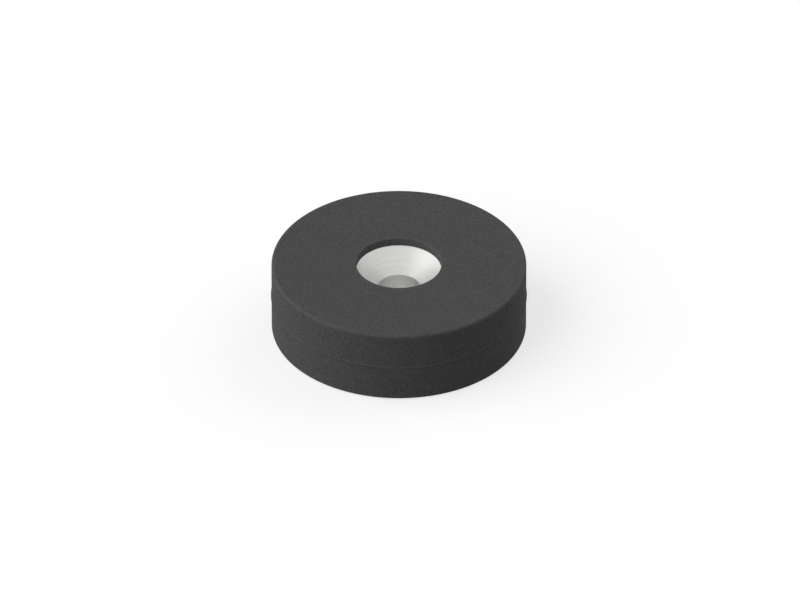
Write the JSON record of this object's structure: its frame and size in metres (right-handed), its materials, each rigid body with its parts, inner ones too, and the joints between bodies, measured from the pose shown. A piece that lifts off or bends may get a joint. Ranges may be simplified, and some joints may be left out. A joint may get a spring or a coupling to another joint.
{
  "type": "rubber coated magnet",
  "caption": "Round ring magnet in a moulded rubber coat, with a countersunk bore through the middle for a flat head screw.",
  "frame": {"origin": "centre of the back face, which the part rests on and is screwed down by", "axes": "+Z along the bore, towards the front face with the countersink; the part is round, so X and Y are free"},
  "size_m": [0.0302, 0.0302, 0.009],
  "materials": {
    "nickel_plate": "satin",
    "coat_rubber": "matte"
  },
  "bodies": {
    "root": {"ring_magnet": "nickel_plate", "rubber_coat": "coat_rubber"}
  },
  "joints": []
}
